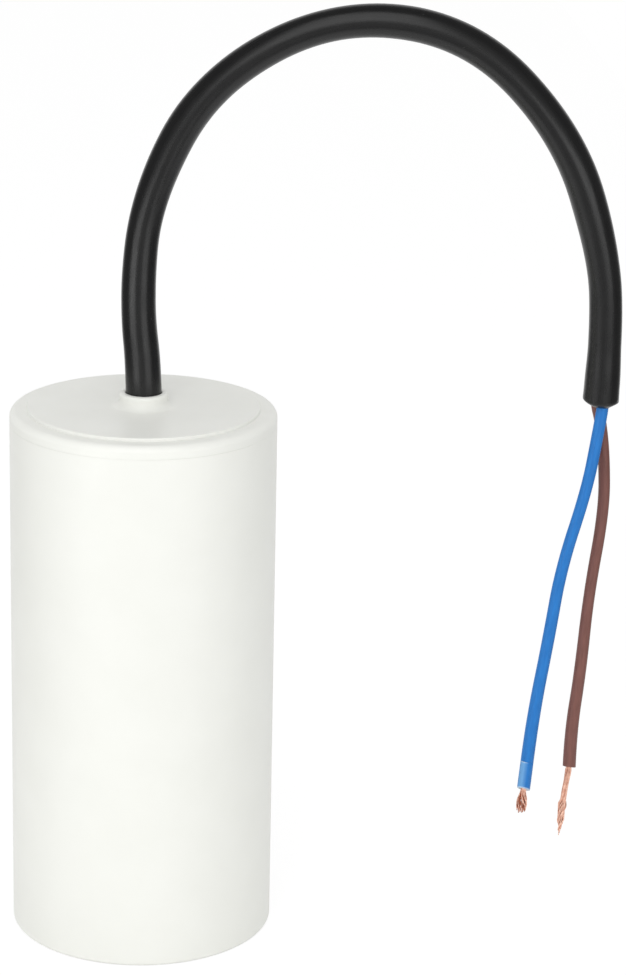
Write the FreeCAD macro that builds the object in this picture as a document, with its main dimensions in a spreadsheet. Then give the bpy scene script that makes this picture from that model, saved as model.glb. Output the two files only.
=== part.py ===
import FreeCAD, Part
import math
import os

import Sketcher
from FreeCAD import Placement, Rotation, Vector

# Motor run capacitor: a plastic can closed by a moulded lid, with a wound film element potted
# inside and a two-core cable that leaves through a boss in the lid's centre.
# Frame: +Z up, the origin at the centre of the can's underside, the cable's arch towards +X.

os.makedirs("parts", exist_ok=True)
doc = FreeCAD.newDocument("run_capacitor")

# Driving dimensions, in millimetres

DIMENSIONS = {
    # can
    "case_radius": 25.0,
    "case_height": 100.0,
    "case_wall": 1.6,
    "floor_thickness": 1.8,
    "foot_round": 0.6,
    "foot_width": 5.0,
    "recess_depth": 0.4,
    "gate_radius": 1.6,
    "gate_depth": 0.2,
    "seam_chamfer": 0.08,
    "rib_height": 5.2,
    "rib_margin": 2.0,
    "rib_thickness": 1.5,
    # lid
    "flange_height": 2.5,
    "shoulder_round": 1.4,
    "ledge_width": 3.2,
    "panel_step": 0.6,
    "panel_chamfer": 0.25,
    "lid_thickness": 1.8,
    "spigot_depth": 5.5,
    "spigot_wall": 1.5,
    "spigot_clearance": 0.05,
    "bead_depth": 0.25,
    "bead_width": 1.2,
    "bead_drop": 3.0,
    "cable_clearance": 0.12,
    "boss_wall": 1.2,
    "boss_height": 2.6,
    "boss_round": 0.6,
    "boss_fillet": 1.5,
    "bore_chamfer": 0.2,
    "collar_wall": 1.6,
    "collar_depth": 3.0,
    # winding
    "resin_gap": 2.1,
    "wrap_thickness": 0.3,
    "head_space": 21.8,
    "core_radius": 5.0,
    "core_wall": 1.5,
    "spray_thickness": 0.6,
    "resin_drop": 6.0,
    # contacts inside
    "joint_radius": 2.6,
    "joint_crown_radius": 1.3,
    "joint_height": 1.6,
    "joint_overrun": 1.0,
    "bare_length": 4.5,
    "lead_run": 5.0,
    "lead_rise": 1.0,
    "lead_clearance": 0.3,
    "lower_lead_gap": 1.5,
    "lower_lead_drop": 2.0,
    "lower_lead_sag": 0.4,
    # cable
    "sheath_radius": 3.25,
    "sheath_end_chamfer": 0.8,
    "wire_radius": 1.15,
    "wire_gap": 0.05,
    "conductor_radius": 0.55,
    "twist_pitch": 11.0,
    "tuft_length": 5.4,
    "slug_gap": 0.1,
    "slug_length": 5.4,
    "slug_clearance": 0.06,
    "slug_chamfer": 0.15,
}

sizes = doc.addObject("Spreadsheet::Sheet", "Sizes")
for row, (alias, size) in enumerate(DIMENSIONS.items(), start=1):
    sizes.set(f"A{row}", alias)
    sizes.set(f"B{row}", str(size))
    sizes.setAlias(f"B{row}", alias)
doc.recompute()


def size_of(expression):
    """Value in millimetres of an expression that is written with the sheet's names."""
    return float(sizes.evalExpression(expression))


def named(expression):
    """The same expression as other objects write it, with the sheet's name before each size."""
    words = expression.replace("(", " ( ").replace(")", " ) ").split()
    return " ".join("Sizes." + word if word in DIMENSIONS else word for word in words)


# Heights and radii that several pieces share

SEAM = "case_height"
LEDGE = f"{SEAM} + flange_height"
PANEL = f"{LEDGE} + panel_step"
PANEL_UNDERSIDE = f"{PANEL} - lid_thickness"
BOSS_TOP = f"{PANEL} + boss_height"
SPIGOT_END = f"{SEAM} - spigot_depth"
BEAD_MIDDLE = f"{SEAM} - bead_drop"
RESIN_TOP = f"{SEAM} - resin_drop"
ELEMENT_BOTTOM = "floor_thickness + rib_height"
ELEMENT_TOP = f"{SEAM} - head_space"
FILM_BOTTOM = f"{ELEMENT_BOTTOM} + spray_thickness"
FILM_TOP = f"{ELEMENT_TOP} - spray_thickness"
CASE_BORE = "case_radius - case_wall"
PANEL_RADIUS = "case_radius - ledge_width"
SPIGOT = f"{CASE_BORE} - spigot_clearance"
CABLE_BORE = "sheath_radius + cable_clearance"
BOSS_RADIUS = f"{CABLE_BORE} + boss_wall"
COLLAR_RADIUS = f"{CABLE_BORE} + collar_wall"
WRAP_RADIUS = f"{CASE_BORE} - resin_gap"
FILM_RADIUS = f"{WRAP_RADIUS} - wrap_thickness"
JOINT_REACH = f"( core_radius + {FILM_RADIUS} ) / 2"


# Building blocks

def origin_plane(body, role):
    """One of a body's own origin planes, found by its role."""
    return next(item for item in body.Origin.OriginFeatures if item.Role == role)


def new_body(name):
    """An empty body whose label names its file."""
    body = doc.addObject("PartDesign::Body", name)
    body.Label = name
    return body


def new_sketch(body, name, role, lift=None):
    """A sketch on one of the body's origin planes, lifted along that plane's normal if asked."""
    sketch = body.newObject("Sketcher::SketchObject", name)
    sketch.AttachmentSupport = (origin_plane(body, role), [""])
    sketch.MapMode = "FlatFace"
    if lift is not None:
        sketch.setExpression("AttachmentOffset.Base.z", named(lift))
    return sketch


def pin_point(sketch, line, index, across, up):
    """Ties the start of a profile line to the axis or to two sizes from the sheet."""
    if across == "0":
        sketch.addConstraint(Sketcher.Constraint("PointOnObject", line, 1, -2))
    else:
        number = sketch.addConstraint(
            Sketcher.Constraint("DistanceX", -1, 1, line, 1, size_of(across)))
        sketch.renameConstraint(number, f"across_{index}")
        sketch.setExpression(f"Constraints.across_{index}", named(across))
    if up == "0":
        sketch.addConstraint(Sketcher.Constraint("PointOnObject", line, 1, -1))
    else:
        number = sketch.addConstraint(
            Sketcher.Constraint("DistanceY", -1, 1, line, 1, size_of(up)))
        sketch.renameConstraint(number, f"up_{index}")
        sketch.setExpression(f"Constraints.up_{index}", named(up))


def closed_profile(sketch, corners):
    """A closed outline through corners that are given as expressions across and up."""
    points = [Vector(size_of(across), size_of(up), 0) for across, up in corners]
    count = len(points)
    lines = []
    for index in range(count):
        segment = Part.LineSegment(points[index], points[(index + 1) % count])
        lines.append(sketch.addGeometry(segment, False))
    for index in range(count):
        following = lines[(index + 1) % count]
        sketch.addConstraint(Sketcher.Constraint("Coincident", lines[index], 2, following, 1))
    for index, (across, up) in enumerate(corners):
        pin_point(sketch, lines[index], index, across, up)


def turned_body(name, corners):
    """A body turned about Z from half of its section."""
    body = new_body(name)
    sketch = new_sketch(body, name + "_section", "XZ_Plane")
    closed_profile(sketch, corners)
    turned = body.newObject("PartDesign::Revolution", name + "_turned")
    turned.Profile = sketch
    turned.ReferenceAxis = (sketch, ["V_Axis"])
    turned.Angle = 360.0
    doc.recompute()
    return body


def ring_edges(shape, rings):
    """Names of the edges that are full circles about Z, by radius and height."""
    wanted = [(size_of(radius), size_of(height)) for radius, height in rings]
    found = []
    for number, edge in enumerate(shape.Edges, start=1):
        if not isinstance(edge.Curve, Part.Circle):
            continue
        for radius, height in wanted:
            same_radius = abs(edge.Curve.Radius - radius) < 1e-4
            if same_radius and abs(edge.Curve.Center.z - height) < 1e-4:
                found.append(f"Edge{number}")
    return found


def round_rings(body, name, rings, radius):
    """Rounds circular edges of a turned body."""
    base = body.Tip
    edges = ring_edges(base.Shape, rings)
    fillet = body.newObject("PartDesign::Fillet", name)
    fillet.Base = (base, edges)
    fillet.setExpression("Radius", named(radius))
    body.Tip = fillet
    doc.recompute()


def chamfer_rings(body, name, rings, width):
    """Chamfers circular edges of a turned body."""
    base = body.Tip
    edges = ring_edges(base.Shape, rings)
    chamfer = body.newObject("PartDesign::Chamfer", name)
    chamfer.Base = (base, edges)
    chamfer.setExpression("Size", named(width))
    body.Tip = chamfer
    doc.recompute()


def tube_body(name, inner, outer, bottom, length):
    """A straight tube about Z, padded up from its ring-shaped section."""
    body = new_body(name)
    sketch = new_sketch(body, name + "_section", "XY_Plane", bottom)
    for index, radius in enumerate((inner, outer)):
        circle = Part.Circle(Vector(0, 0, 0), Vector(0, 0, 1), size_of(radius))
        ring = sketch.addGeometry(circle, False)
        sketch.addConstraint(Sketcher.Constraint("Coincident", ring, 3, -1, 1))
        number = sketch.addConstraint(Sketcher.Constraint("Radius", ring, size_of(radius)))
        sketch.renameConstraint(number, f"ring_{index}")
        sketch.setExpression(f"Constraints.ring_{index}", named(radius))
    pad = body.newObject("PartDesign::Pad", name + "_pad")
    pad.Profile = sketch
    pad.setExpression("Length", named(length))
    doc.recompute()
    return body


def route_wire(label, points, diameter):
    """A cord's path: straight runs joined by tangent arcs. Prints the arcs' radii."""
    corners = [Vector(*point) for point in points]
    edges = []
    radii = []
    last = corners[0]
    for before, corner, after in zip(corners, corners[1:], corners[2:]):
        inward = (corner - before).normalize()
        outward = (after - corner).normalize()
        half_turn = inward.getAngle(outward) / 2
        setback = 0.45 * min(before.distanceToPoint(corner), corner.distanceToPoint(after))
        radius = setback / math.tan(half_turn)
        start = corner - inward * setback
        end = corner + outward * setback
        towards_centre = (outward - inward).normalize()
        middle = corner + towards_centre * (radius / math.cos(half_turn) - radius)
        edges.append(Part.LineSegment(last, start).toShape())
        edges.append(Part.Arc(start, middle, end).toShape())
        radii.append(round(radius, 1))
        last = end
    edges.append(Part.LineSegment(last, corners[-1]).toShape())
    path = doc.addObject("Part::Feature", label + "_route")
    path.Shape = Part.Wire(edges)
    print(label, "arc radii", radii, "least in diameters", round(min(radii) / diameter, 1))
    return path


def swept_cord(name, points, radius):
    """A plain round cord swept along its route."""
    path = route_wire(name, points, 2 * size_of(radius))
    first = Vector(*points[0])
    direction = Vector(*points[1]) - first
    section = doc.addObject("Part::Circle", name + "_section")
    section.Placement = Placement(first, Rotation(Vector(0, 0, 1), direction))
    section.setExpression("Radius", named(radius))
    cord = doc.addObject("Part::Sweep", name)
    cord.Sections = [section]
    cord.Spine = (path, [f"Edge{number + 1}" for number in range(len(path.Shape.Edges))])
    cord.Solid = True
    cord.Frenet = False
    cord.Label = name
    doc.recompute()
    expected = math.pi * size_of(radius) ** 2 * path.Shape.Length
    print(name, "length", round(path.Shape.Length, 1),
          "volume share", round(cord.Shape.Volume / expected, 4))
    return cord


# Can: one moulding, a deep cup with a shallow recess under its floor, the gate's mark in the
# recess and a groove inside the rim for the lid's bead. Three ribs carry the winding.

GROOVE_REACH = f"{CASE_BORE} + bead_depth + spigot_clearance"
GROOVE_HALF = "( bead_width / 2 + spigot_clearance )"
case = turned_body("case", [
    ("0", "recess_depth + gate_depth"),
    ("gate_radius", "recess_depth + gate_depth"),
    ("gate_radius", "recess_depth"),
    ("case_radius - foot_width", "recess_depth"),
    ("case_radius - foot_width", "0"),
    ("case_radius", "0"),
    ("case_radius", SEAM),
    (CASE_BORE, SEAM),
    (CASE_BORE, f"{BEAD_MIDDLE} + {GROOVE_HALF}"),
    (GROOVE_REACH, f"{BEAD_MIDDLE} + bead_width / 4"),
    (GROOVE_REACH, f"{BEAD_MIDDLE} - bead_width / 4"),
    (CASE_BORE, f"{BEAD_MIDDLE} - {GROOVE_HALF}"),
    (CASE_BORE, "floor_thickness"),
    ("0", "floor_thickness"),
])
round_rings(case, "case_foot", [("case_radius", "0")], "foot_round")
chamfer_rings(case, "case_rim", [("case_radius", SEAM)], "seam_chamfer")

rib_section = new_sketch(case, "case_rib_section", "XY_Plane", "floor_thickness")
closed_profile(rib_section, [
    ("core_radius + rib_margin", "0 - rib_thickness / 2"),
    (f"{FILM_RADIUS} - rib_margin", "0 - rib_thickness / 2"),
    (f"{FILM_RADIUS} - rib_margin", "rib_thickness / 2"),
    ("core_radius + rib_margin", "rib_thickness / 2"),
])
case_rib = case.newObject("PartDesign::Pad", "case_rib")
case_rib.Profile = rib_section
case_rib.setExpression("Length", named("rib_height"))
doc.recompute()
case_ribs = case.newObject("PartDesign::PolarPattern", "case_ribs")
case_ribs.Originals = [case_rib]
case_ribs.Axis = (rib_section, ["N_Axis"])
case_ribs.Angle = 360.0
case_ribs.Occurrences = 3
case.Tip = case_ribs
doc.recompute()

# Lid: one moulding with a flush flange, a raised centre panel, a boss for the cable and a
# spigot whose bead snaps into the can's groove.

lid = turned_body("lid", [
    (CABLE_BORE, f"{PANEL_UNDERSIDE} - collar_depth"),
    (CABLE_BORE, BOSS_TOP),
    (BOSS_RADIUS, BOSS_TOP),
    (BOSS_RADIUS, PANEL),
    (PANEL_RADIUS, PANEL),
    (PANEL_RADIUS, LEDGE),
    ("case_radius", LEDGE),
    ("case_radius", SEAM),
    (SPIGOT, SEAM),
    (SPIGOT, f"{BEAD_MIDDLE} + bead_width / 2"),
    (f"{SPIGOT} + bead_depth", f"{BEAD_MIDDLE} + bead_width / 4"),
    (f"{SPIGOT} + bead_depth", f"{BEAD_MIDDLE} - bead_width / 4"),
    (SPIGOT, f"{BEAD_MIDDLE} - bead_width / 2"),
    (SPIGOT, SPIGOT_END),
    (f"{SPIGOT} - spigot_wall", SPIGOT_END),
    (f"{SPIGOT} - spigot_wall", PANEL_UNDERSIDE),
    (COLLAR_RADIUS, PANEL_UNDERSIDE),
    (COLLAR_RADIUS, f"{PANEL_UNDERSIDE} - collar_depth"),
])
round_rings(lid, "lid_shoulder", [("case_radius", LEDGE)], "shoulder_round")
round_rings(lid, "lid_boss_foot", [(BOSS_RADIUS, PANEL)], "boss_fillet")
round_rings(lid, "lid_boss_top", [(BOSS_RADIUS, BOSS_TOP)], "boss_round")
chamfer_rings(lid, "lid_panel_edge", [(PANEL_RADIUS, PANEL)], "panel_chamfer")
chamfer_rings(lid, "lid_seam", [("case_radius", SEAM)], "seam_chamfer")
chamfer_rings(lid, "lid_bore", [(CABLE_BORE, BOSS_TOP)], "bore_chamfer")

# Winding: film on a plastic core, wrapped outside, with a sprayed zinc contact on each end

FILM_HEIGHT = f"{FILM_TOP} - ( {FILM_BOTTOM} )"
winding_core = tube_body(
    "winding_core", "core_radius - core_wall", "core_radius", ELEMENT_BOTTOM,
    f"{ELEMENT_TOP} - ( {ELEMENT_BOTTOM} )")
film_winding = tube_body("film_winding", "core_radius", FILM_RADIUS, FILM_BOTTOM, FILM_HEIGHT)
winding_wrap = tube_body("winding_wrap", FILM_RADIUS, WRAP_RADIUS, FILM_BOTTOM, FILM_HEIGHT)
end_spray_bottom = tube_body(
    "end_spray_bottom", "core_radius", FILM_RADIUS, ELEMENT_BOTTOM, "spray_thickness")
end_spray_top = tube_body(
    "end_spray_top", "core_radius", FILM_RADIUS, FILM_TOP, "spray_thickness")

# Cable: the outer jacket rises out of the boss, arches over to +X and ends beside the can.
# Every route is a list of points (x, y, height above the boss's mouth) in millimetres.

MOUTH = size_of(BOSS_TOP)


def from_mouth(points):
    """Route points moved up to the boss's mouth."""
    return [(x, y, MOUTH + height) for x, y, height in points]


SHEATH_ROUTE = from_mouth([
    (0, 0, -14.7),
    (0, 0, 1.6),
    (-1.5, 0, 18.1),
    (0.4, 0, 37.6),
    (11.2, 0, 58.6),
    (34.2, 0, 71.2),
    (58, 0, 68.2),
    (75.7, 0, 52.4),
    (86, 0, 27),
    (86.5, 0, 12.5),
    (85.4, 0, -1.7),
])
sheath_rod = swept_cord("sheath_rod", SHEATH_ROUTE, "sheath_radius")


def end_ring(shape, point, radius):
    """Number of the circular edge of a cord's end face at a point of its route."""
    for number, edge in enumerate(shape.Edges, start=1):
        if isinstance(edge.Curve, Part.Circle) and abs(edge.Curve.Radius - radius) < 1e-4:
            if edge.Curve.Center.distanceToPoint(Vector(*point)) < 1e-3:
                return number


cable_sheath = doc.addObject("Part::Chamfer", "cable_sheath")
cable_sheath.Base = sheath_rod
cut_end = end_ring(sheath_rod.Shape, SHEATH_ROUTE[-1], size_of("sheath_radius"))
cable_sheath.Edges = [(cut_end, size_of("sheath_end_chamfer"), size_of("sheath_end_chamfer"))]
cable_sheath.Label = "cable_sheath"
doc.recompute()

# Free wires, side by side out of the jacket's end

BLUE_ROUTE = from_mouth([
    (86, -1.1, -1.8),
    (85.3, -1.2, -7.7),
    (83.5, -1.7, -18.3),
    (79.4, -1.5, -33.9),
    (77.6, -0.9, -48.7),
    (75.4, -0.3, -64.7),
    (74.6, 0, -74.3),
])
BROWN_ROUTE = from_mouth([
    (85.1, 1.1, -1.9),
    (85.5, 1.2, -5.8),
    (86.9, 1.6, -12.7),
    (87.7, 1.9, -23.5),
    (85.4, 1.4, -40.5),
    (84.3, 0.7, -56),
    (83, 0.2, -68),
    (83, 0, -75.4),
])
blue_wire = swept_cord("blue_wire", BLUE_ROUTE, "wire_radius")
brown_wire = swept_cord("brown_wire", BROWN_ROUTE, "wire_radius")

# Wires inside the can. The brown one bends over to the upper contact, and the blue one goes
# down through the winding core to the lower contact.

jacket_end = SHEATH_ROUTE[0][2]
wire_offset = size_of("wire_radius + wire_gap")
upper_face = size_of(ELEMENT_TOP)
lower_face = size_of(ELEMENT_BOTTOM)
joint_reach = size_of(JOINT_REACH)
lead_run = size_of("lead_run")
lead_height = upper_face + size_of("wire_radius + lead_clearance")
lead_end = joint_reach + size_of("joint_overrun - bare_length")
lower_strip = lower_face + size_of("lower_lead_gap")
lower_turn = lower_face - size_of("lower_lead_drop")

INNER_BROWN_ROUTE = [
    (0, wire_offset, jacket_end),
    (0, wire_offset, jacket_end - lead_run),
    (0, lead_end - lead_run, lead_height + size_of("lead_rise")),
    (0, lead_end, lead_height),
]
LOWER_CONDUCTOR_ROUTE = [
    (0, -wire_offset, lower_strip),
    (0, -wire_offset, lower_turn),
    (0, -wire_offset - lead_run, lower_turn - size_of("lower_lead_sag")),
    (0, -joint_reach - size_of("joint_overrun"),
     lower_face - size_of("conductor_radius + lead_clearance")),
]


def straight_rod(name, start, end, radius):
    """A straight round wire between two points."""
    rod = doc.addObject("Part::Cylinder", name)
    rod.Label = name
    rod.setExpression("Radius", named(radius))
    rod.Height = (end - start).Length
    rod.Placement = Placement(start, Rotation(Vector(0, 0, 1), end - start))
    doc.recompute()
    return rod


inner_brown_lead = swept_cord("inner_brown_lead", INNER_BROWN_ROUTE, "wire_radius")
strip_point = Vector(*INNER_BROWN_ROUTE[-1])
strip_direction = (strip_point - Vector(*INNER_BROWN_ROUTE[-2])).normalize()
inner_brown_conductor = straight_rod(
    "inner_brown_conductor", strip_point,
    strip_point + strip_direction * size_of("bare_length"), "conductor_radius")
inner_blue_lead = straight_rod(
    "inner_blue_lead", Vector(0, -wire_offset, jacket_end), Vector(0, -wire_offset, lower_strip),
    "wire_radius")
inner_blue_conductor = swept_cord(
    "inner_blue_conductor", LOWER_CONDUCTOR_ROUTE, "conductor_radius")


def solder_joint(name, centre, face_side, conductor):
    """A lump of solder that narrows away from its contact, closed round the conductor."""
    lump = doc.addObject("Part::Cone", name + "_lump")
    lump.setExpression("Radius1", named("joint_radius"))
    lump.setExpression("Radius2", named("joint_crown_radius"))
    lump.setExpression("Height", named("joint_height"))
    lump.Placement = Placement(centre, Rotation(Vector(0, 0, 1), Vector(0, 0, face_side)))
    joint = doc.addObject("Part::Cut", name)
    joint.Base = lump
    joint.Tool = conductor
    joint.Label = name
    doc.recompute()
    return joint


solder_joint_top = solder_joint(
    "solder_joint_top", Vector(0, joint_reach, upper_face), 1, inner_brown_conductor)
solder_joint_bottom = solder_joint(
    "solder_joint_bottom", Vector(0, -joint_reach, lower_face), -1, inner_blue_conductor)

# Bare ends of the free wires. The strands are twisted together, so a bundle's section is a
# ring of round lobes that turns along its length.

STRAND_LOBES = 7
LOBE_DEPTH = 0.16
SECTION_STEP = 1.3


def lobed_section(centre, axis, radius, turn):
    """A closed ring of outward arcs, one for each strand, square to the bundle's axis."""
    frame = Placement(centre, Rotation(Vector(0, 0, 1), axis))
    valley = radius * (1 - LOBE_DEPTH)
    step = 2 * math.pi / STRAND_LOBES

    def at(reach, angle):
        return frame.multVec(Vector(reach * math.cos(angle), reach * math.sin(angle), 0))

    arcs = []
    for lobe in range(STRAND_LOBES):
        start = turn + lobe * step
        arcs.append(Part.Arc(at(valley, start), at(radius, start + step / 2),
                             at(valley, start + step)).toShape())
    return Part.Wire(arcs)


def radius_at(outline, distance):
    """Bundle radius at a distance along it, between the outline's (distance, radius) points."""
    for (here, radius), (there, next_radius) in zip(outline, outline[1:]):
        if distance <= there:
            return radius + (next_radius - radius) * (distance - here) / (there - here)
    return outline[-1][1]


def strand_bundle(name, start, axis, tip, outline):
    """A twisted bundle that leaves a wire's end square to it and runs to its tip."""
    length = outline[-1][0]
    lean = (tip - start).normalize()
    steps = round(length / SECTION_STEP)
    sections = []
    for step in range(steps + 1):
        share = step / steps
        centre = start + (tip - start) * share
        direction = lean if step else axis
        turn = 2 * math.pi * share * length / size_of("twist_pitch")
        sections.append(
            lobed_section(centre, direction, radius_at(outline, share * length), turn))
    bundle = doc.addObject("Part::Feature", name)
    bundle.Label = name
    bundle.Shape = Part.makeLoft(sections, True, True)
    return bundle


# Outlines of the bare ends: the share of the way to the tip, and the bundle's thickness as a
# share of the conductor's
TUFT_OUTLINE = [(0.2, 1.35), (0.5, 1.9), (0.85, 1.7), (1, 1.1)]
BROWN_OUTLINE = [(0, 1.08), (0.2, 0.92), (0.42, 0.96), (0.6, 1.43), (0.75, 1.12), (1, 0.2)]
BROWN_TIP = Vector(81.5, 0, MOUTH - 89.9)

conductor_radius = size_of("conductor_radius")
blue_end = Vector(*BLUE_ROUTE[-1])
blue_axis = (blue_end - Vector(*BLUE_ROUTE[-2])).normalize()
slug_end = size_of("slug_gap + slug_length")
tuft_length = size_of("tuft_length")
tuft_outline = [
    (slug_end + share * tuft_length, thickness * conductor_radius)
    for share, thickness in TUFT_OUTLINE
]
blue_strands = strand_bundle(
    "blue_strands", blue_end, blue_axis, blue_end + blue_axis * (slug_end + tuft_length),
    [(0, conductor_radius), (slug_end, conductor_radius)] + tuft_outline)

brown_end = Vector(*BROWN_ROUTE[-1])
brown_axis = (brown_end - Vector(*BROWN_ROUTE[-2])).normalize()
brown_length = brown_end.distanceToPoint(BROWN_TIP)
brown_strands = strand_bundle(
    "brown_strands", brown_end, brown_axis, BROWN_TIP,
    [(share * brown_length, thickness * conductor_radius) for share, thickness in BROWN_OUTLINE])

# Slug of blue insulation that was cut through and left on the strands

slug_tube = doc.addObject("Part::Cylinder", "slug_tube")
slug_tube.setExpression("Radius", named("wire_radius"))
slug_tube.setExpression("Height", named("slug_length"))
slug_tube.Placement = Placement(blue_end + blue_axis * size_of("slug_gap"),
                                Rotation(Vector(0, 0, 1), blue_axis))
slug_bore = doc.addObject("Part::Cylinder", "slug_bore")
slug_bore.setExpression("Radius", named("conductor_radius + slug_clearance"))
slug_bore.setExpression("Height", named("slug_length"))
slug_bore.Placement = slug_tube.Placement
slug_blank = doc.addObject("Part::Cut", "slug_blank")
slug_blank.Base = slug_tube
slug_blank.Tool = slug_bore
doc.recompute()
blue_insulation_slug = doc.addObject("Part::Chamfer", "blue_insulation_slug")
blue_insulation_slug.Base = slug_blank
slug_rings = []
for number, edge in enumerate(slug_blank.Shape.Edges, start=1):
    if isinstance(edge.Curve, Part.Circle):
        if abs(edge.Curve.Radius - size_of("wire_radius")) < 1e-4:
            slug_rings.append((number, size_of("slug_chamfer"), size_of("slug_chamfer")))
blue_insulation_slug.Edges = slug_rings
blue_insulation_slug.Label = "blue_insulation_slug"
doc.recompute()

# Resin: fills the can up to its level, round everything that stands in it

resin_fill = doc.addObject("Part::Cylinder", "resin_fill")
resin_fill.setExpression("Radius", named(CASE_BORE))
resin_fill.setExpression("Height", named(f"{RESIN_TOP} - floor_thickness"))
resin_fill.setExpression("Placement.Base.z", named("floor_thickness"))
potted = [
    case, winding_core, film_winding, winding_wrap, end_spray_bottom, end_spray_top,
    solder_joint_bottom, solder_joint_top, inner_blue_lead, inner_brown_lead,
    inner_blue_conductor, inner_brown_conductor, cable_sheath,
]
resin = resin_fill
for piece in potted:
    hollowed = doc.addObject("Part::Cut", "resin_round_" + piece.Name)
    hollowed.Base = resin
    hollowed.Tool = piece
    doc.recompute()
    resin = hollowed
potting_resin = resin
potting_resin.Label = "potting_resin"

PIECES = [
    case, lid, winding_core, film_winding, winding_wrap, end_spray_bottom, end_spray_top,
    solder_joint_bottom, solder_joint_top, inner_blue_lead, inner_brown_lead,
    inner_blue_conductor, inner_brown_conductor, potting_resin, cable_sheath, blue_wire,
    brown_wire, blue_insulation_slug, blue_strands, brown_strands,
]

doc.recompute()
for item in doc.Objects:
    if "Invalid" in item.State or "Error" in item.State:
        raise RuntimeError(f"{item.Name} did not build: {item.State}")
for piece in PIECES:
    if piece.Shape.isNull() or not piece.Shape.isValid() or not piece.Shape.Solids:
        raise RuntimeError(f"{piece.Label} has no valid solid")

for piece in PIECES:
    piece.Shape.exportStep(f"parts/{piece.Label}.step")
    print(piece.Label, len(piece.Shape.Solids), round(piece.Shape.Volume, 1))
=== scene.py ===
import math
import random

import bmesh
import bpy
from mathutils import Matrix, Vector


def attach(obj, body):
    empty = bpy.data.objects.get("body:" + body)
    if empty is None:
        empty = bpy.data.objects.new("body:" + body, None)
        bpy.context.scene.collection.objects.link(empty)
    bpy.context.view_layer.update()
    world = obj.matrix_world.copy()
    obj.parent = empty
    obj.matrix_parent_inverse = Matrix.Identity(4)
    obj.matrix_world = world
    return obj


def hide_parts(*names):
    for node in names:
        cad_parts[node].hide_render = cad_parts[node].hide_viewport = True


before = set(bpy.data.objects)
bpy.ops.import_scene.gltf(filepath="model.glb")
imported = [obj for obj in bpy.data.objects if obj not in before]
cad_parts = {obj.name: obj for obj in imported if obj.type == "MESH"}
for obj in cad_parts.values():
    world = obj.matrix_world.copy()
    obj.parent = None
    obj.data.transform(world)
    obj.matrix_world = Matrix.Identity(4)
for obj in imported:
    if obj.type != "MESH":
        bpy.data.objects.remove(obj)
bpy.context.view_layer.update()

# Can: one deep cup, injection moulded in white polypropylene, with a foot ring round a shallow
# recess that has the gate's mark in its middle. Three ribs on its floor carry the winding, and
# the lid snaps into a groove inside its rim and closes on it with a fine seam.

CAN_RADIUS = 0.025
CAN_HEIGHT = 0.100
CAN_WALL = 0.0016
CAN_FLOOR = 0.0018
FOOT_WIDTH = 0.005
FOOT_ROUND = 0.0006
RECESS_DEPTH = 0.0004
RECESS_ROUND = 0.00015
GATE_RADIUS = 0.0016
GATE_DEPTH = 0.0002
BEAD_DROP = 0.003
BEAD_MIDDLE = CAN_HEIGHT - BEAD_DROP
BEAD_WIDTH = 0.0012
BEAD_DEPTH = 0.00025
SNAP_CLEARANCE = 0.00005
RIB_COUNT = 3
RIB_START = 0.007
RIB_END = 0.019
RIB_TOP = 0.007
RIB_THICKNESS = 0.0015
RIB_ROOT = 0.0002
SEAM_CHAMFER = 0.00006
TURN_STEPS = 256
SMOOTH_ANGLE = math.radians(32)
SAME_HEIGHT = 1e-5
SAME_RADIUS = 3e-5
SAME_POINT = 1e-7
FLAT_ENOUGH = 0.9
WHITE_PLASTIC_DARK = (0.852, 0.858, 0.812, 1)
WHITE_PLASTIC_LIGHT = (0.872, 0.878, 0.834, 1)


def start_cylinder(name, radius, bottom, top):
    """A solid cylinder about Z, open in edit mode with nothing selected."""
    bpy.ops.object.select_all(action="DESELECT")
    bpy.ops.mesh.primitive_cylinder_add(
        vertices=TURN_STEPS, radius=radius, depth=top - bottom, end_fill_type="NGON",
        location=(0, 0, (bottom + top) / 2))
    piece = bpy.context.object
    piece.name = name
    piece.data.name = name
    bpy.ops.object.transform_apply(location=True, rotation=True, scale=True)
    bpy.ops.object.mode_set(mode="EDIT")
    bpy.ops.mesh.select_all(action="DESELECT")
    return piece


def pick_face(piece, height, facing):
    """Selects the flat faces at a height that look up (1) or down (-1)."""
    bpy.ops.mesh.select_all(action="DESELECT")
    bpy.ops.mesh.select_mode(type="FACE")
    mesh = bmesh.from_edit_mesh(piece.data)
    for face in mesh.faces:
        level = abs(face.calc_center_median().z - height) < SAME_HEIGHT
        flat = face.normal.z * facing > FLAT_ENOUGH
        face.select = level and flat and len(face.verts) > 4
    bmesh.update_edit_mesh(piece.data)


def pick_rings(piece, rings):
    """Selects the edges that lie on circles about Z, each given by its radius and height."""
    bpy.ops.mesh.select_all(action="DESELECT")
    bpy.ops.mesh.select_mode(type="EDGE")
    mesh = bmesh.from_edit_mesh(piece.data)
    for edge in mesh.edges:
        for radius, height in rings:
            edge.select |= all(
                abs(vertex.co.z - height) < SAME_HEIGHT
                and abs(math.hypot(vertex.co.x, vertex.co.y) - radius) < SAME_RADIUS
                for vertex in edge.verts)
    bmesh.update_edit_mesh(piece.data)


def inset_and_push(thickness, height):
    """Insets the selected face and moves the inner face up or down."""
    bpy.ops.mesh.inset(thickness=thickness, depth=0)
    bpy.ops.mesh.extrude_region_move(TRANSFORM_OT_translate={"value": (0, 0, height)})


def push_through(radius, height, outline):
    """Pushes the selected round face on from its radius and height through others in turn."""
    for next_radius, next_height in outline:
        bpy.ops.mesh.extrude_region_move(
            TRANSFORM_OT_translate={"value": (0, 0, next_height - height)})
        share = next_radius / radius
        if share != 1:
            bpy.ops.transform.resize(value=(share, share, 1))
        radius, height = next_radius, next_height


def round_rings(piece, rings, width, segments):
    """Rounds edges that lie on circles about Z."""
    pick_rings(piece, rings)
    bpy.ops.mesh.bevel(offset=width, segments=segments, affect="EDGES", offset_type="OFFSET")


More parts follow.
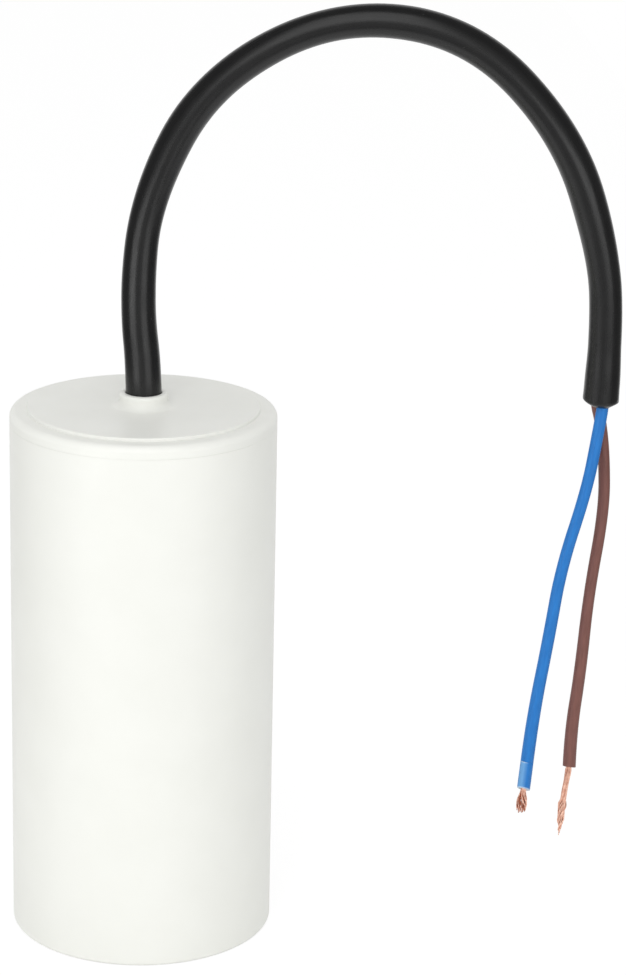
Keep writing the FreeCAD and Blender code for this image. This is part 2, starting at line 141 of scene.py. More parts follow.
def finish_turned(piece):
    """Leaves edit mode and shades the piece smooth, with flat faces kept flat."""
    bpy.ops.mesh.select_all(action="SELECT")
    bpy.ops.mesh.remove_doubles(threshold=SAME_POINT)
    bpy.ops.mesh.normals_make_consistent(inside=False)
    bpy.ops.object.mode_set(mode="OBJECT")
    bpy.ops.object.shade_smooth_by_angle(angle=SMOOTH_ANGLE)
    bpy.ops.object.modifier_add(type="WEIGHTED_NORMAL")
    piece.modifiers[-1].keep_sharp = True
    bpy.ops.object.modifier_apply(modifier=piece.modifiers[-1].name)


def add_ribs(piece):
    """Adds upright ribs to the floor, evenly round the axis, and fuses them with the piece."""
    bpy.ops.object.mode_set(mode="OBJECT")
    bottom = CAN_FLOOR - RIB_ROOT
    for number in range(RIB_COUNT):
        bpy.ops.object.select_all(action="DESELECT")
        bpy.ops.mesh.primitive_cube_add(
            size=1, location=((RIB_START + RIB_END) / 2, 0, (bottom + RIB_TOP) / 2))
        rib = bpy.context.object
        bpy.ops.transform.resize(value=(RIB_END - RIB_START, RIB_THICKNESS, RIB_TOP - bottom))
        bpy.ops.transform.rotate(value=math.tau * number / RIB_COUNT, orient_axis="Z",
                                 center_override=(0, 0, 0))
        bpy.ops.object.transform_apply(location=True, rotation=True, scale=True)
        bpy.context.view_layer.objects.active = piece
        bpy.ops.object.modifier_add(type="BOOLEAN")
        piece.modifiers[-1].operation = "UNION"
        piece.modifiers[-1].object = rib
        bpy.ops.object.modifier_apply(modifier=piece.modifiers[-1].name)
        bpy.data.meshes.remove(rib.data)
    piece.select_set(True)
    bpy.ops.object.mode_set(mode="EDIT")


CAN_BORE = CAN_RADIUS - CAN_WALL
GROOVE = CAN_BORE + BEAD_DEPTH + SNAP_CLEARANCE
GROOVE_HALF = BEAD_WIDTH / 2 + SNAP_CLEARANCE

can = start_cylinder("can", CAN_RADIUS, 0, CAN_HEIGHT)
pick_face(can, CAN_HEIGHT, 1)
bpy.ops.mesh.inset(thickness=CAN_WALL, depth=0)
push_through(CAN_BORE, CAN_HEIGHT, [
    (CAN_BORE, BEAD_MIDDLE + GROOVE_HALF),
    (GROOVE, BEAD_MIDDLE + BEAD_WIDTH / 4),
    (GROOVE, BEAD_MIDDLE - BEAD_WIDTH / 4),
    (CAN_BORE, BEAD_MIDDLE - GROOVE_HALF),
    (CAN_BORE, CAN_FLOOR),
])
pick_face(can, 0, -1)
inset_and_push(FOOT_WIDTH, RECESS_DEPTH)
pick_face(can, RECESS_DEPTH, -1)
inset_and_push(CAN_RADIUS - FOOT_WIDTH - GATE_RADIUS, GATE_DEPTH)
round_rings(can, [(CAN_RADIUS, 0)], FOOT_ROUND, segments=6)
round_rings(can, [(CAN_RADIUS - FOOT_WIDTH, 0), (GATE_RADIUS, RECESS_DEPTH)], RECESS_ROUND,
            segments=2)
round_rings(can, [(CAN_RADIUS, CAN_HEIGHT)], SEAM_CHAMFER, segments=2)
add_ribs(can)
finish_turned(can)


def new_material(name):
    """A node material with its nodes, links and Principled shader."""
    material = bpy.data.materials.new(name)
    material.use_nodes = True
    tree = material.node_tree
    return material, tree.nodes, tree.links, tree.nodes["Principled BSDF"]


def add_noise(nodes, links, place, scale, detail=2.0, roughness=0.5):
    """A noise texture at a scale in bumps to the metre."""
    noise = nodes.new("ShaderNodeTexNoise")
    noise.inputs["Scale"].default_value = scale
    noise.inputs["Detail"].default_value = detail
    noise.inputs["Roughness"].default_value = roughness
    links.new(place, noise.inputs["Vector"])
    return noise.outputs["Fac"]


def add_range(nodes, links, value, low, high, start=0.3, end=0.7):
    """Maps a texture's value from start..end to low..high."""
    mapping = nodes.new("ShaderNodeMapRange")
    mapping.inputs["From Min"].default_value = start
    mapping.inputs["From Max"].default_value = end
    mapping.inputs["To Min"].default_value = low
    mapping.inputs["To Max"].default_value = high
    links.new(value, mapping.inputs["Value"])
    return mapping.outputs["Result"]


def add_ramp(nodes, links, value, dark, light, start=0.3, end=0.7):
    """Runs from one colour to another over a texture's value."""
    ramp = nodes.new("ShaderNodeValToRGB")
    ramp.color_ramp.elements[0].position = start
    ramp.color_ramp.elements[0].color = dark
    ramp.color_ramp.elements[1].position = end
    ramp.color_ramp.elements[1].color = light
    links.new(value, ramp.inputs["Fac"])
    return ramp.outputs["Color"]


def add_bump(nodes, links, value, distance, under=None):
    """A bump of that height in metres, on top of another bump if there is one."""
    bump = nodes.new("ShaderNodeBump")
    bump.inputs["Distance"].default_value = distance
    links.new(value, bump.inputs["Height"])
    if under is not None:
        links.new(under, bump.inputs["Normal"])
    return bump.outputs["Normal"]


def white_plastic():
    """Satin white polypropylene: faint clouds in the colour, a fine mould grain in the gloss."""
    material, nodes, links, shader = new_material("white_plastic")
    place = nodes.new("ShaderNodeTexCoord").outputs["Object"]
    clouds = add_noise(nodes, links, place, scale=90, detail=3)
    flow = add_noise(nodes, links, place, scale=420)
    grain = add_noise(nodes, links, place, scale=3800)
    links.new(add_ramp(nodes, links, clouds, WHITE_PLASTIC_DARK, WHITE_PLASTIC_LIGHT),
              shader.inputs["Base Color"])
    links.new(add_range(nodes, links, flow, low=0.38, high=0.46), shader.inputs["Roughness"])
    ripple = add_bump(nodes, links, flow, distance=0.000012)
    links.new(add_bump(nodes, links, grain, distance=0.000004, under=ripple),
              shader.inputs["Normal"])
    shader.inputs["IOR"].default_value = 1.49
    return material


plastic = white_plastic()
can.data.materials.clear()
can.data.materials.append(plastic)
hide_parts("case")
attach(can, "root")

# Winding: metallised film wound on a plastic core and wrapped in clear film. Zinc sprayed on
# both ends joins the edges of all its turns. It stands inside the can, out of sight.

FILM_TURN = 0.00035
TURNS_TO_THE_METRE = 1 / (FILM_TURN * math.tau)
CORE_DARK = (0.66, 0.66, 0.60, 1)
CORE_LIGHT = (0.75, 0.75, 0.70, 1)
FILM_DARK = (0.42, 0.42, 0.41, 1)
FILM_LIGHT = (0.66, 0.66, 0.64, 1)
WRAP_DARK = (0.70, 0.70, 0.64, 1)
WRAP_LIGHT = (0.82, 0.82, 0.77, 1)
ZINC_DARK = (0.30, 0.30, 0.31, 1)
ZINC_LIGHT = (0.55, 0.55, 0.54, 1)
FILM_UNEVENNESS = 0.12
METAL_UNEVENNESS = 0.15


def dress_node(node, material):
    """Gives a piece of the frame its finish."""
    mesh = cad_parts[node].data
    mesh.materials.clear()
    mesh.materials.append(material)


def core_plastic():
    """Natural polypropylene tube: milky, with faint clouds."""
    material, nodes, links, shader = new_material("core_plastic")
    place = nodes.new("ShaderNodeTexCoord").outputs["Object"]
    clouds = add_noise(nodes, links, place, scale=300, detail=3)
    links.new(add_ramp(nodes, links, clouds, CORE_DARK, CORE_LIGHT),
              shader.inputs["Base Color"])
    links.new(add_range(nodes, links, clouds, low=0.35, high=0.5), shader.inputs["Roughness"])
    return material


def wound_film(name, dark, light, metallic, roughness):
    """Film wound about Z: fine rings that show on its ends, one to each group of turns."""
    material, nodes, links, shader = new_material(name)
    place = nodes.new("ShaderNodeTexCoord").outputs["Object"]
    turns = nodes.new("ShaderNodeTexWave")
    turns.wave_type = "RINGS"
    turns.rings_direction = "Z"
    turns.inputs["Scale"].default_value = TURNS_TO_THE_METRE
    turns.inputs["Distortion"].default_value = 0.6
    links.new(place, turns.inputs["Vector"])
    clouds = add_noise(nodes, links, place, scale=500, detail=3)
    links.new(add_ramp(nodes, links, turns.outputs["Fac"], dark, light, start=0.1, end=0.9),
              shader.inputs["Base Color"])
    links.new(add_range(nodes, links, clouds, roughness, roughness + FILM_UNEVENNESS),
              shader.inputs["Roughness"])
    links.new(add_bump(nodes, links, turns.outputs["Fac"], distance=0.00001),
              shader.inputs["Normal"])
    shader.inputs["Metallic"].default_value = metallic
    return material


def grainy_metal(name, dark, light, scale, height, roughness):
    """Dull metal with a grain of its own, as sprayed or melted on."""
    material, nodes, links, shader = new_material(name)
    place = nodes.new("ShaderNodeTexCoord").outputs["Object"]
    grain = add_noise(nodes, links, place, scale, detail=4, roughness=0.6)
    links.new(add_ramp(nodes, links, grain, dark, light), shader.inputs["Base Color"])
    links.new(add_range(nodes, links, grain, roughness, roughness + METAL_UNEVENNESS),
              shader.inputs["Roughness"])
    links.new(add_bump(nodes, links, grain, height), shader.inputs["Normal"])
    shader.inputs["Metallic"].default_value = 1.0
    return material


zinc = grainy_metal("zinc_spray", ZINC_DARK, ZINC_LIGHT,
                    scale=2600, height=0.00006, roughness=0.55)
dress_node("winding_core", core_plastic())
dress_node("film_winding", wound_film("metallised_film", FILM_DARK, FILM_LIGHT,
                                      metallic=0.9, roughness=0.25))
dress_node("winding_wrap", wound_film("wrap_film", WRAP_DARK, WRAP_LIGHT,
                                      metallic=0.0, roughness=0.2))
dress_node("end_spray_bottom", zinc)
dress_node("end_spray_top", zinc)

# Leads inside: the cable's two wires, stripped and soldered to the sprayed ends. The blue one
# goes down through the core to the lower end, and resin is poured round everything.

BLUE_PVC_DARK = (0.011, 0.158, 0.500, 1)
BLUE_PVC_LIGHT = (0.015, 0.196, 0.590, 1)
BROWN_PVC_DARK = (0.160, 0.066, 0.053, 1)
BROWN_PVC_LIGHT = (0.212, 0.087, 0.071, 1)
COPPER_DARK = (0.560, 0.250, 0.160, 1)
COPPER_LIGHT = (0.930, 0.560, 0.430, 1)
SHADE_SPREAD = 0.3
SOLDER_DARK = (0.62, 0.62, 0.61, 1)
SOLDER_LIGHT = (0.78, 0.78, 0.77, 1)
RESIN_DARK = (0.42, 0.36, 0.22, 1)
RESIN_LIGHT = (0.50, 0.43, 0.27, 1)
LEAD_STREAKS = (900, 900, 60)


def wire_pvc(name, dark, light, coordinates, stretch):
    """Coloured PVC insulation: faint streaks along the wire and a soft gloss."""
    material, nodes, links, shader = new_material(name)
    texture = nodes.new("ShaderNodeTexCoord")
    drawn = nodes.new("ShaderNodeMapping")
    drawn.inputs["Scale"].default_value = stretch
    links.new(texture.outputs[coordinates], drawn.inputs["Vector"])
    streaks = add_noise(nodes, links, drawn.outputs["Vector"], scale=1, detail=3)
    grain = add_noise(nodes, links, texture.outputs["Object"], scale=6500, detail=1)
    links.new(add_ramp(nodes, links, streaks, dark, light), shader.inputs["Base Color"])
    links.new(add_range(nodes, links, streaks, low=0.42, high=0.52), shader.inputs["Roughness"])
    links.new(add_bump(nodes, links, grain, distance=0.000004), shader.inputs["Normal"])
    shader.inputs["Specular IOR Level"].default_value = 0.35
    return material


def bare_copper(name, dark, light, shaded_strands=False):
    """Annealed copper, dull in patches. Each strand can be a little lighter or redder."""
    material, nodes, links, shader = new_material(name)
    place = nodes.new("ShaderNodeTexCoord").outputs["Object"]
    tarnish = add_noise(nodes, links, place, scale=1600)
    tone = tarnish
    if shaded_strands:
        shade = nodes.new("ShaderNodeAttribute")
        shade.attribute_name = "strand_shade"
        mixed = nodes.new("ShaderNodeMath")
        mixed.operation = "ADD"
        links.new(tarnish, mixed.inputs[0])
        spread = add_range(nodes, links, shade.outputs["Fac"], low=-SHADE_SPREAD,
                           high=SHADE_SPREAD, start=0, end=1)
        links.new(spread, mixed.inputs[1])
        tone = mixed.outputs["Value"]
    links.new(add_ramp(nodes, links, tone, dark, light), shader.inputs["Base Color"])
    links.new(add_range(nodes, links, tarnish, low=0.3, high=0.45), shader.inputs["Roughness"])
    shader.inputs["Metallic"].default_value = 1.0
    return material


def potting_resin():
    """Cast resin the colour of honey, with clouds where it set."""
    material, nodes, links, shader = new_material("potting_resin")
    place = nodes.new("ShaderNodeTexCoord").outputs["Object"]
    clouds = add_noise(nodes, links, place, scale=160, detail=4)
    links.new(add_ramp(nodes, links, clouds, RESIN_DARK, RESIN_LIGHT),
              shader.inputs["Base Color"])
    links.new(add_range(nodes, links, clouds, low=0.15, high=0.3), shader.inputs["Roughness"])
    return material


lead_copper = bare_copper("lead_copper", COPPER_DARK, COPPER_LIGHT)
lead_solder = grainy_metal("solder", SOLDER_DARK, SOLDER_LIGHT,
                           scale=900, height=0.00002, roughness=0.3)
dress_node("inner_blue_lead", wire_pvc("blue_lead_pvc", BLUE_PVC_DARK, BLUE_PVC_LIGHT,
                                       "Object", LEAD_STREAKS))
dress_node("inner_brown_lead", wire_pvc("brown_lead_pvc", BROWN_PVC_DARK, BROWN_PVC_LIGHT,
                                        "Object", LEAD_STREAKS))
dress_node("inner_blue_conductor", lead_copper)
dress_node("inner_brown_conductor", lead_copper)
dress_node("solder_joint_bottom", lead_solder)
dress_node("solder_joint_top", lead_solder)
dress_node("potting_resin", potting_resin())

# Lid: a white moulding whose spigot snaps into the can with a bead. A raised centre panel
# carries a low boss, and the cable leaves through the boss's mouth.

FLANGE_HEIGHT = 0.0025
SHOULDER_ROUND = 0.0014
LEDGE_WIDTH = 0.0032
PANEL_STEP = 0.0006
PANEL_ROUND = 0.0003
PANEL_FOOT_ROUND = 0.00015
LID_THICKNESS = 0.0018
SPIGOT_DEPTH = 0.0055
SPIGOT_WALL = 0.0015
CABLE_BORE = 0.00337
BOSS_RADIUS = 0.00457
BOSS_HEIGHT = 0.0026
BOSS_ROUND = 0.0006
BOSS_FILLET = 0.0015
CABLE_BORE_ROUND = 0.0002
COLLAR_RADIUS = 0.00497
COLLAR_DEPTH = 0.003

LEDGE_LEVEL = CAN_HEIGHT + FLANGE_HEIGHT
PANEL_LEVEL = LEDGE_LEVEL + PANEL_STEP
MOUTH_LEVEL = PANEL_LEVEL + BOSS_HEIGHT
UNDERSIDE = PANEL_LEVEL - LID_THICKNESS
SPIGOT_END = CAN_HEIGHT - SPIGOT_DEPTH
SPIGOT = CAN_BORE - SNAP_CLEARANCE
COLLAR_END = UNDERSIDE - COLLAR_DEPTH
PANEL_RADIUS = CAN_RADIUS - LEDGE_WIDTH
SPIGOT_INSIDE = SPIGOT - SPIGOT_WALL

lid = start_cylinder("lid_moulding", CAN_RADIUS, CAN_HEIGHT, LEDGE_LEVEL)
pick_face(lid, LEDGE_LEVEL, 1)
inset_and_push(LEDGE_WIDTH, PANEL_STEP)
inset_and_push(PANEL_RADIUS - BOSS_RADIUS, BOSS_HEIGHT)
bpy.ops.mesh.inset(thickness=BOSS_RADIUS - CABLE_BORE, depth=0)
bpy.ops.mesh.delete(type="ONLY_FACE")
pick_face(lid, CAN_HEIGHT, -1)
bpy.ops.mesh.inset(thickness=CAN_RADIUS - SPIGOT, depth=0)
push_through(SPIGOT, CAN_HEIGHT, [
    (SPIGOT, BEAD_MIDDLE + BEAD_WIDTH / 2),
    (SPIGOT + BEAD_DEPTH, BEAD_MIDDLE + BEAD_WIDTH / 4),
    (SPIGOT + BEAD_DEPTH, BEAD_MIDDLE - BEAD_WIDTH / 4),
    (SPIGOT, BEAD_MIDDLE - BEAD_WIDTH / 2),
    (SPIGOT, SPIGOT_END),
])
inset_and_push(SPIGOT_WALL, UNDERSIDE - SPIGOT_END)
inset_and_push(SPIGOT_INSIDE - COLLAR_RADIUS, -COLLAR_DEPTH)
bpy.ops.mesh.inset(thickness=COLLAR_RADIUS - CABLE_BORE, depth=0)
bpy.ops.mesh.delete(type="ONLY_FACE")
pick_rings(lid, [(CABLE_BORE, MOUTH_LEVEL), (CABLE_BORE, COLLAR_END)])
bpy.ops.mesh.bridge_edge_loops()
round_rings(lid, [(CAN_RADIUS, LEDGE_LEVEL)], SHOULDER_ROUND, segments=10)
round_rings(lid, [(PANEL_RADIUS, PANEL_LEVEL)], PANEL_ROUND, segments=5)
round_rings(lid, [(PANEL_RADIUS, LEDGE_LEVEL)], PANEL_FOOT_ROUND, segments=3)
round_rings(lid, [(BOSS_RADIUS, PANEL_LEVEL)], BOSS_FILLET, segments=10)
round_rings(lid, [(BOSS_RADIUS, MOUTH_LEVEL)], BOSS_ROUND, segments=6)
round_rings(lid, [(CABLE_BORE, MOUTH_LEVEL)], CABLE_BORE_ROUND, segments=3)
round_rings(lid, [(CAN_RADIUS, CAN_HEIGHT)], SEAM_CHAMFER, segments=2)
finish_turned(lid)
lid.data.materials.clear()
lid.data.materials.append(plastic)
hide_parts("lid")
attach(lid, "root")

# Cable: a round black PVC jacket over two insulated cores. It rises out of the boss, arches
# over by its own stiffness, and was cut off with a taper that closes in on the wires.

JACKET_ROUTE = [
    (0, 0, -0.0147),
    (0.0003, 0, 0.0016),
    (-0.0015, 0, 0.0181),
    (0.0004, 0, 0.0373),
    (0.0112, -0.0005, 0.0584),
    (0.0338, -0.002, 0.0714),
    (0.0586, -0.0037, 0.0688),
    (0.077, -0.0044, 0.0501),
    (0.0847, -0.0026, 0.0276),
    (0.0861, -0.0012, 0.0122),
    (0.0857, 0, -0.0019),
]
JACKET_RADIUS = 0.00325
JACKET_OUTLINE = [(0, 1.03), (0.08, 1.03), (0.16, 0.985), (0.23, 0.945), (0.31, 0.98),
                  (0.39, 0.945), (0.48, 0.915), (0.57, 0.96), (0.68, 0.955), (0.8, 1.0),
                  (0.88, 0.94), (0.94, 0.955), (0.98, 1.03), (1, 1.05)]
JACKET_SIDES = 64
TAPER_LENGTH = 0.00095
TAPER_STEPS = 10
TAPER_TILT = 0.05
TAPER_ROOM = 1.3
LIP_OVER = 0.00172
LIP_ACROSS = 0.00245
LIP_THICKNESS = 0.00012
LIP_SQUARENESS = 3.0
LIP_ROUND = 0.00008
THROAT_DEPTH = 0.003
ROUTE_STEPS = 16
BLACK_PVC_DARK = (0.0048, 0.0048, 0.0051, 1)
BLACK_PVC_LIGHT = (0.0068, 0.0068, 0.0070, 1)
DUST = (0.05, 0.05, 0.05, 1)
JACKET_STREAKS = (60, 260, 1)


def lifted(route):
    """Route points moved up to the boss's mouth."""
    return [Vector((x, y, MOUTH_LEVEL + height)) for x, y, height in route]


def route_line(name, points):
    """Points read from a smooth spline that has the route's points as its control points."""
    curve = bpy.data.curves.new(name, "CURVE")
    curve.dimensions = "3D"
    curve.resolution_u = ROUTE_STEPS
    spline = curve.splines.new("NURBS")
    spline.points.add(len(points) - 1)
    for point, place in zip(spline.points, points):
        point.co = (*place, 1)
    spline.order_u = 3
    spline.use_endpoint_u = True
    holder = bpy.data.objects.new(name, curve)
    mesh = bpy.data.meshes.new_from_object(holder)
    line = [vertex.co.copy() for vertex in mesh.vertices]
    bpy.data.objects.remove(holder)
    bpy.data.meshes.remove(mesh)
    bpy.data.curves.remove(curve)
    return line


def line_distances(line):
    """How far along a line each of its points is."""
    distances = [0.0]
    for here, there in zip(line, line[1:]):
        distances.append(distances[-1] + (there - here).length)
    return distances


def outline_at(outline, share):
    """The value at a share of the way along an outline of (share, value) pairs."""
    for (here, value), (there, following) in zip(outline, outline[1:]):
        if share <= there:
            part = (share - here) / (there - here)
            return value + (following - value) * part * part * (3 - 2 * part)
    return outline[-1][1]


def line_frames(line, side):
    """For each point of a line its direction and two square directions, with no twist."""
    frames = []
    across = Vector(side)
    for index in range(len(line)):
        before = line[max(index - 1, 0)]
        after = line[min(index + 1, len(line) - 1)]
        direction = (after - before).normalized()
        across = (across - direction * across.dot(direction)).normalized()
        frames.append((direction, across, direction.cross(across)))
    return frames


def piece_of(mesh, name):
    """Makes a mesh a piece of the scene, with its faces pointing outwards."""
    bmesh.ops.recalc_face_normals(mesh, faces=mesh.faces)
    data = bpy.data.meshes.new(name)
    mesh.to_mesh(data)
    mesh.free()
    piece = bpy.data.objects.new(name, data)
    bpy.context.scene.collection.objects.link(piece)
    return piece


def rings_mesh(name, rings, through=False):
    """A closed skin through rings of points, with a map that follows the surface. It is capped
    at both ends, or its last ring joins its first, as where a bore goes right through."""
    mesh = bmesh.new()
    sides = len(rings[0])
    rows = [[mesh.verts.new(point) for point in ring] for ring in rings]
    layer = mesh.loops.layers.uv.new("surface")
    travelled = [0.0]
    for ring, following in zip(rings, rings[1:]):
        travelled.append(travelled[-1] + (following[0] - ring[0]).length)
    for row in range(len(rows) - 1):
        for side in range(sides):
            after = (side + 1) % sides
            corners = [(row, side), (row, after), (row + 1, after), (row + 1, side)]
            face = mesh.faces.new([rows[r][s] for r, s in corners])
            face.smooth = True
            turns = [side, side + 1, side + 1, side]
            for loop, (r, _), turn in zip(face.loops, corners, turns):
                loop[layer].uv = (turn / sides, travelled[r])
    if through:
        for side in range(sides):
            after = (side + 1) % sides
            mesh.faces.new([rows[-1][side], rows[-1][after], rows[0][after],
                            rows[0][side]]).smooth = True
    else:
        mesh.faces.new(list(reversed(rows[0])))
        mesh.faces.new(rows[-1])
    return piece_of(mesh, name)


def ring_of(centre, across, over, width, depth, sides, squareness=2.0):
    """Points round an ellipse, or with more squareness round a rounded oblong."""
    power = 2 / squareness
    points = []
    for turn in (math.tau * side / sides for side in range(sides)):
        cosine = math.cos(turn)
        sine = math.sin(turn)
        points.append(centre + across * (width * math.copysign(abs(cosine) ** power, cosine))
                      + over * (depth * math.copysign(abs(sine) ** power, sine)))
    return points


def tilted(ring, centre, direction, lean):
    """The ring with its points moved along the cord in proportion to how far over they are."""
    return [point + direction * (point - centre).dot(lean) for point in ring]


def jacket_rings(line):
    """The jacket's outside, its tapered end and the short throat that the wires come out of."""
    distances = line_distances(line)
    frames = line_frames(line, (0, 1, 0))
    length = distances[-1]
    rings = []
    for centre, (direction, across, over), distance in zip(line, frames, distances):
        if distance < length - TAPER_LENGTH * TAPER_ROOM:
            radius = JACKET_RADIUS * outline_at(JACKET_OUTLINE, distance / length)
            rings.append(ring_of(centre, across, over, radius, radius, JACKET_SIDES))
    direction, across, over = frames[-1]
    shoulder = JACKET_RADIUS * JACKET_OUTLINE[-1][1]
    for step in range(TAPER_STEPS + 1):
        share = step / TAPER_STEPS
        centre = line[-1] - direction * (TAPER_LENGTH * (1 - share))
        outside = ring_of(centre, across, over, shoulder, shoulder, JACKET_SIDES)
        lip = ring_of(centre, across, over, LIP_ACROSS, LIP_OVER, JACKET_SIDES, LIP_SQUARENESS)
        ring = []
        for far, near in zip(outside, lip):
            inside_the_arch = 0.5 - 0.5 * (far - centre).dot(over) / shoulder
            ring.append(far.lerp(near, share ** (1 + inside_the_arch)))
        rings.append(tilted(ring, centre, direction, over * TAPER_TILT))
    for depth, inward in [(0.0, 0.5), (LIP_ROUND, 1.0), (THROAT_DEPTH, 1.0)]:
        centre = line[-1] - direction * depth
        ring = ring_of(centre, across, over, LIP_ACROSS - LIP_THICKNESS * inward,
                       LIP_OVER - LIP_THICKNESS * inward, JACKET_SIDES, LIP_SQUARENESS)
        rings.append(tilted(ring, centre, direction, over * TAPER_TILT))
    return rings


def black_pvc():
    """Soft black PVC: fine drawn lines along it in the gloss, a few scuffs and specks of dust."""
    material, nodes, links, shader = new_material("black_pvc")
    texture = nodes.new("ShaderNodeTexCoord")
    drawn = nodes.new("ShaderNodeMapping")
    drawn.inputs["Scale"].default_value = JACKET_STREAKS
    links.new(texture.outputs["UV"], drawn.inputs["Vector"])
    lines = add_noise(nodes, links, drawn.outputs["Vector"], scale=1, detail=3)
    cloud = add_noise(nodes, links, texture.outputs["Object"], scale=260, detail=3)
    specks = add_noise(nodes, links, texture.outputs["Object"], scale=1900, detail=3, roughness=0.6)
    grain = add_noise(nodes, links, texture.outputs["Object"], scale=5200, detail=1)
    dusted = nodes.new("ShaderNodeMix")
    dusted.data_type = "RGBA"
    dusted.inputs["B"].default_value = DUST
    links.new(add_range(nodes, links, specks, low=0, high=0.8, start=0.7, end=0.78),
              dusted.inputs["Factor"])
    links.new(add_ramp(nodes, links, cloud, BLACK_PVC_DARK, BLACK_PVC_LIGHT),
              dusted.inputs["A"])
    links.new(dusted.outputs["Result"], shader.inputs["Base Color"])
    links.new(add_range(nodes, links, lines, low=0.25, high=0.33), shader.inputs["Roughness"])
    wave = add_bump(nodes, links, lines, distance=0.000006)
    links.new(add_bump(nodes, links, grain, distance=0.000002, under=wave), shader.inputs["Normal"])
    shader.inputs["Specular IOR Level"].default_value = 0.44
    return material


jacket_line = route_line("jacket_route", lifted(JACKET_ROUTE))
jacket = rings_mesh("cable_jacket", jacket_rings(jacket_line))
jacket.data.materials.append(black_pvc())
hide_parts("cable_sheath")
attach(jacket, "root")

# Free wires: blue and brown PVC insulation over a stranded conductor. They cross just below
# the jacket's end, keep the bends that handling gave them, and each ends in a knife cut.

BLUE_ROUTE = [
    (0.0862, -0.0011, 0.0013),
    (0.0861, -0.0011, -0.0018),
    (0.0853, -0.0012, -0.0077),
    (0.08368, -0.0017, -0.0183),
    (0.0795, -0.0015, -0.0339),
    (0.07775, -0.0009, -0.0487),
    (0.07545, -0.0003, -0.0647),
    (0.07472, 0, -0.0743),
]
BROWN_ROUTE = [
    (0.0849, 0.0011, 0.0013),
    (0.085, 0.0011, -0.0019),
    (0.0861, 0.0012, -0.0057),
    (0.08715, 0.0016, -0.0127),
    (0.0877, 0.0019, -0.0235),
    (0.0854, 0.0014, -0.0405),
    (0.0844, 0.0007, -0.056),
    (0.083, 0.0002, -0.068),
    (0.083, 0, -0.0754),
]
WIRE_RADIUS = 0.00115
WIRE_SIDES = 40
WIRE_BORE = 0.0006
WIRE_BORE_DEPTH = 0.0014
BLUE_OUTLINE = [(0, 0.99), (0.3, 0.98), (0.7, 1.03), (1, 1.11)]
BROWN_OUTLINE = [(0, 0.97), (0.55, 0.95), (0.75, 1.02), (1, 1.11)]
BLUE_CUT = (0.1, 0.25, 0.00002)
BROWN_CUT = (0.13, 0.26, 0.00006)
CUT_REACH = 0.004
CUT_MARGIN = 0.0001
WIRE_STREAKS = (14, 220, 1)


def insulation_rings(line, outline, cuts):
    """Insulation whose ends are cut a little aslant and show the bore. Each cut is given by
    its slope sideways and front to back and its rim's rounding, and None leaves an end that is
    out of sight plain."""
    distances = line_distances(line)
    frames = line_frames(line, (0, 1, 0))
    length = distances[-1]
    first_cut, last_cut = cuts
    rings = []

    def radius_at(distance):
        return WIRE_RADIUS * outline_at(outline, distance / length)

    def cut_rings(end, direction, across, over, radius, lean, rounding):
        profile = [(WIRE_BORE_DEPTH, WIRE_BORE), (rounding, WIRE_BORE),
                   (0.0, WIRE_BORE + rounding), (0.0, radius - rounding),
                   (rounding * 0.3, radius - rounding * 0.3), (rounding, radius)]
        for inward, reach in profile:
            centre = end - direction * inward
            ring = ring_of(centre, across, over, reach, reach, WIRE_SIDES)
            yield tilted(ring, centre, direction, lean)

    def lean_of(cut, across, over):
        return over * cut[0] + across * cut[1] if cut else Vector()

    if first_cut is not None:
        direction, across, over = frames[0]
        rings += cut_rings(line[0], -direction, across, over, radius_at(0),
                           -lean_of(first_cut, across, over), first_cut[2])
    for centre, (direction, across, over), distance in zip(line, frames, distances):
        from_start = distance if first_cut is not None else CUT_REACH
        from_end = length - distance
        if min(from_start, from_end) > CUT_MARGIN:
            radius = radius_at(distance)
            ring = ring_of(centre, across, over, radius, radius, WIRE_SIDES)
            lean = (lean_of(last_cut, across, over) * max(0.0, 1 - from_end / CUT_REACH)
                    + lean_of(first_cut, across, over) * max(0.0, 1 - from_start / CUT_REACH))
            rings.append(tilted(ring, centre, direction, lean))
    direction, across, over = frames[-1]
    rings += reversed(list(cut_rings(line[-1], direction, across, over, radius_at(length),
                                     lean_of(last_cut, across, over), last_cut[2])))
    return rings


blue_pvc = wire_pvc("blue_pvc", BLUE_PVC_DARK, BLUE_PVC_LIGHT, "UV", WIRE_STREAKS)
brown_pvc = wire_pvc("brown_pvc", BROWN_PVC_DARK, BROWN_PVC_LIGHT, "UV", WIRE_STREAKS)
blue_line = route_line("blue_route", lifted(BLUE_ROUTE))
brown_line = route_line("brown_route", lifted(BROWN_ROUTE))
blue_insulation = rings_mesh(
    "blue_insulation", insulation_rings(blue_line, BLUE_OUTLINE, (None, BLUE_CUT)))
blue_insulation.data.materials.append(blue_pvc)
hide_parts("blue_wire")
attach(blue_insulation, "root")
brown_insulation = rings_mesh(
    "brown_insulation", insulation_rings(brown_line, BROWN_OUTLINE, (None, BROWN_CUT)))
brown_insulation.data.materials.append(brown_pvc)
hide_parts("brown_wire")
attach(brown_insulation, "root")

# Slug: the last bit of blue insulation, cut through but left on the strands. Its colour has a
# painted highlight down one side, and is paler along its lower cut.

SLUG_GAP = 0.00003
SLUG_LENGTH = 0.0059
SLUG_STEPS = 12
SLUG_OUTLINE = [(0, 1.11), (0.6, 1.12), (1, 1.11)]
SLUG_START_CUT = (0.085, 0.25, 0.00002)
SLUG_END_CUT = (0.2, 0.6, 0.00008)
# A paler blue painted down one side of the slug as a painted highlight, and a pale blue for the
# rims of its cuts.
PAINTED_HIGHLIGHT_BLUE = (0.170, 0.410, 0.730, 1)
CUT_RIM_BLUE = (0.560, 0.700, 0.830, 1)
HIGHLIGHT_SIDE = 0.63
HIGHLIGHT_MIDDLE = 0.04
HIGHLIGHT_WIDTH = 0.15
HIGHLIGHT_STRENGTH = 0.8
PALE_RIM = 0.0003

